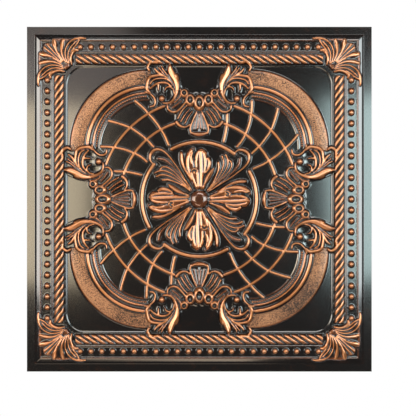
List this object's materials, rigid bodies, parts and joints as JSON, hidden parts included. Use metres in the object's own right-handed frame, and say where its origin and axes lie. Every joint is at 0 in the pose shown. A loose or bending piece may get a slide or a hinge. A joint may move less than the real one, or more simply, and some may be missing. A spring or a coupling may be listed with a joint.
{
  "type": "ceiling tile",
  "caption": "Square ceiling tile of thin formed sheet with a flat flange, beaded and rope borders, a quatrefoil of curved bands, lattice bars and leaf scrolls in relief.",
  "frame": {"origin": "centre of the tile, on the underside of its flat flange", "axes": "+Z out of the decorated face, +X and +Y along the sides"},
  "size_m": [0.603, 0.603, 0.011],
  "materials": {
    "copper_sheet": "antique copper paint over dark brown, rubbed through on the relief"
  },
  "bodies": {
    "root": {"tile_sheet": "copper_sheet"}
  },
  "joints": []
}
